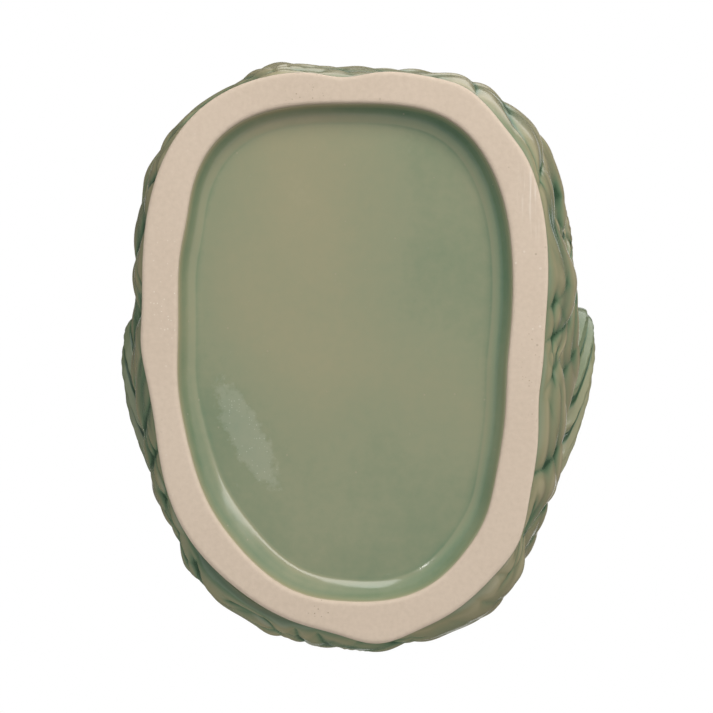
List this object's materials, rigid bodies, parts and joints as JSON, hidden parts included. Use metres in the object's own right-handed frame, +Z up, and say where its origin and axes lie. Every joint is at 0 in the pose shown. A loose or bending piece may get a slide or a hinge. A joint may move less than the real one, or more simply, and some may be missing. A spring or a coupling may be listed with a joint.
{
  "type": "fish-shaped jug",
  "caption": "Glazed pouring jug shaped as an upright fish: open mouth to pour from, hollow tail curled up behind as the handle, oval foot ring with a sunk glazed base.",
  "frame": {"origin": "on the resting plane, under the middle of the whole jug and of its foot", "axes": "+Z up, -Y towards the fish's mouth, +Y towards the tail handle, +X to the fish's own left"},
  "size_m": [0.109, 0.1455, 0.2388],
  "materials": {
    "bare_biscuit": "bare fired clay, matt",
    "panel_glaze": "sage green glaze, glossy",
    "body_glaze": "sage green glaze, pooled in the hollows",
    "fin_glaze": "sage green glaze, thin on the ridges",
    "eye_glaze": "sage green glaze, thin on the dome"
  },
  "bodies": {
    "root": {"foot_ring": "bare_biscuit", "base_panel": "panel_glaze", "wave_skirt": "body_glaze", "trunk_shell": "body_glaze", "head_shell": "body_glaze", "tail_handle": "body_glaze", "upper_lip": "fin_glaze", "lower_lip": "fin_glaze", "right_gill_cover": "fin_glaze", "left_gill_cover": "fin_glaze", "right_pectoral_fin": "fin_glaze", "left_pectoral_fin": "fin_glaze", "right_pelvic_fin": "fin_glaze", "left_pelvic_fin": "fin_glaze", "dorsal_fin": "fin_glaze", "tail_fin": "fin_glaze", "right_eye": "eye_glaze", "left_eye": "eye_glaze"}
  },
  "joints": []
}
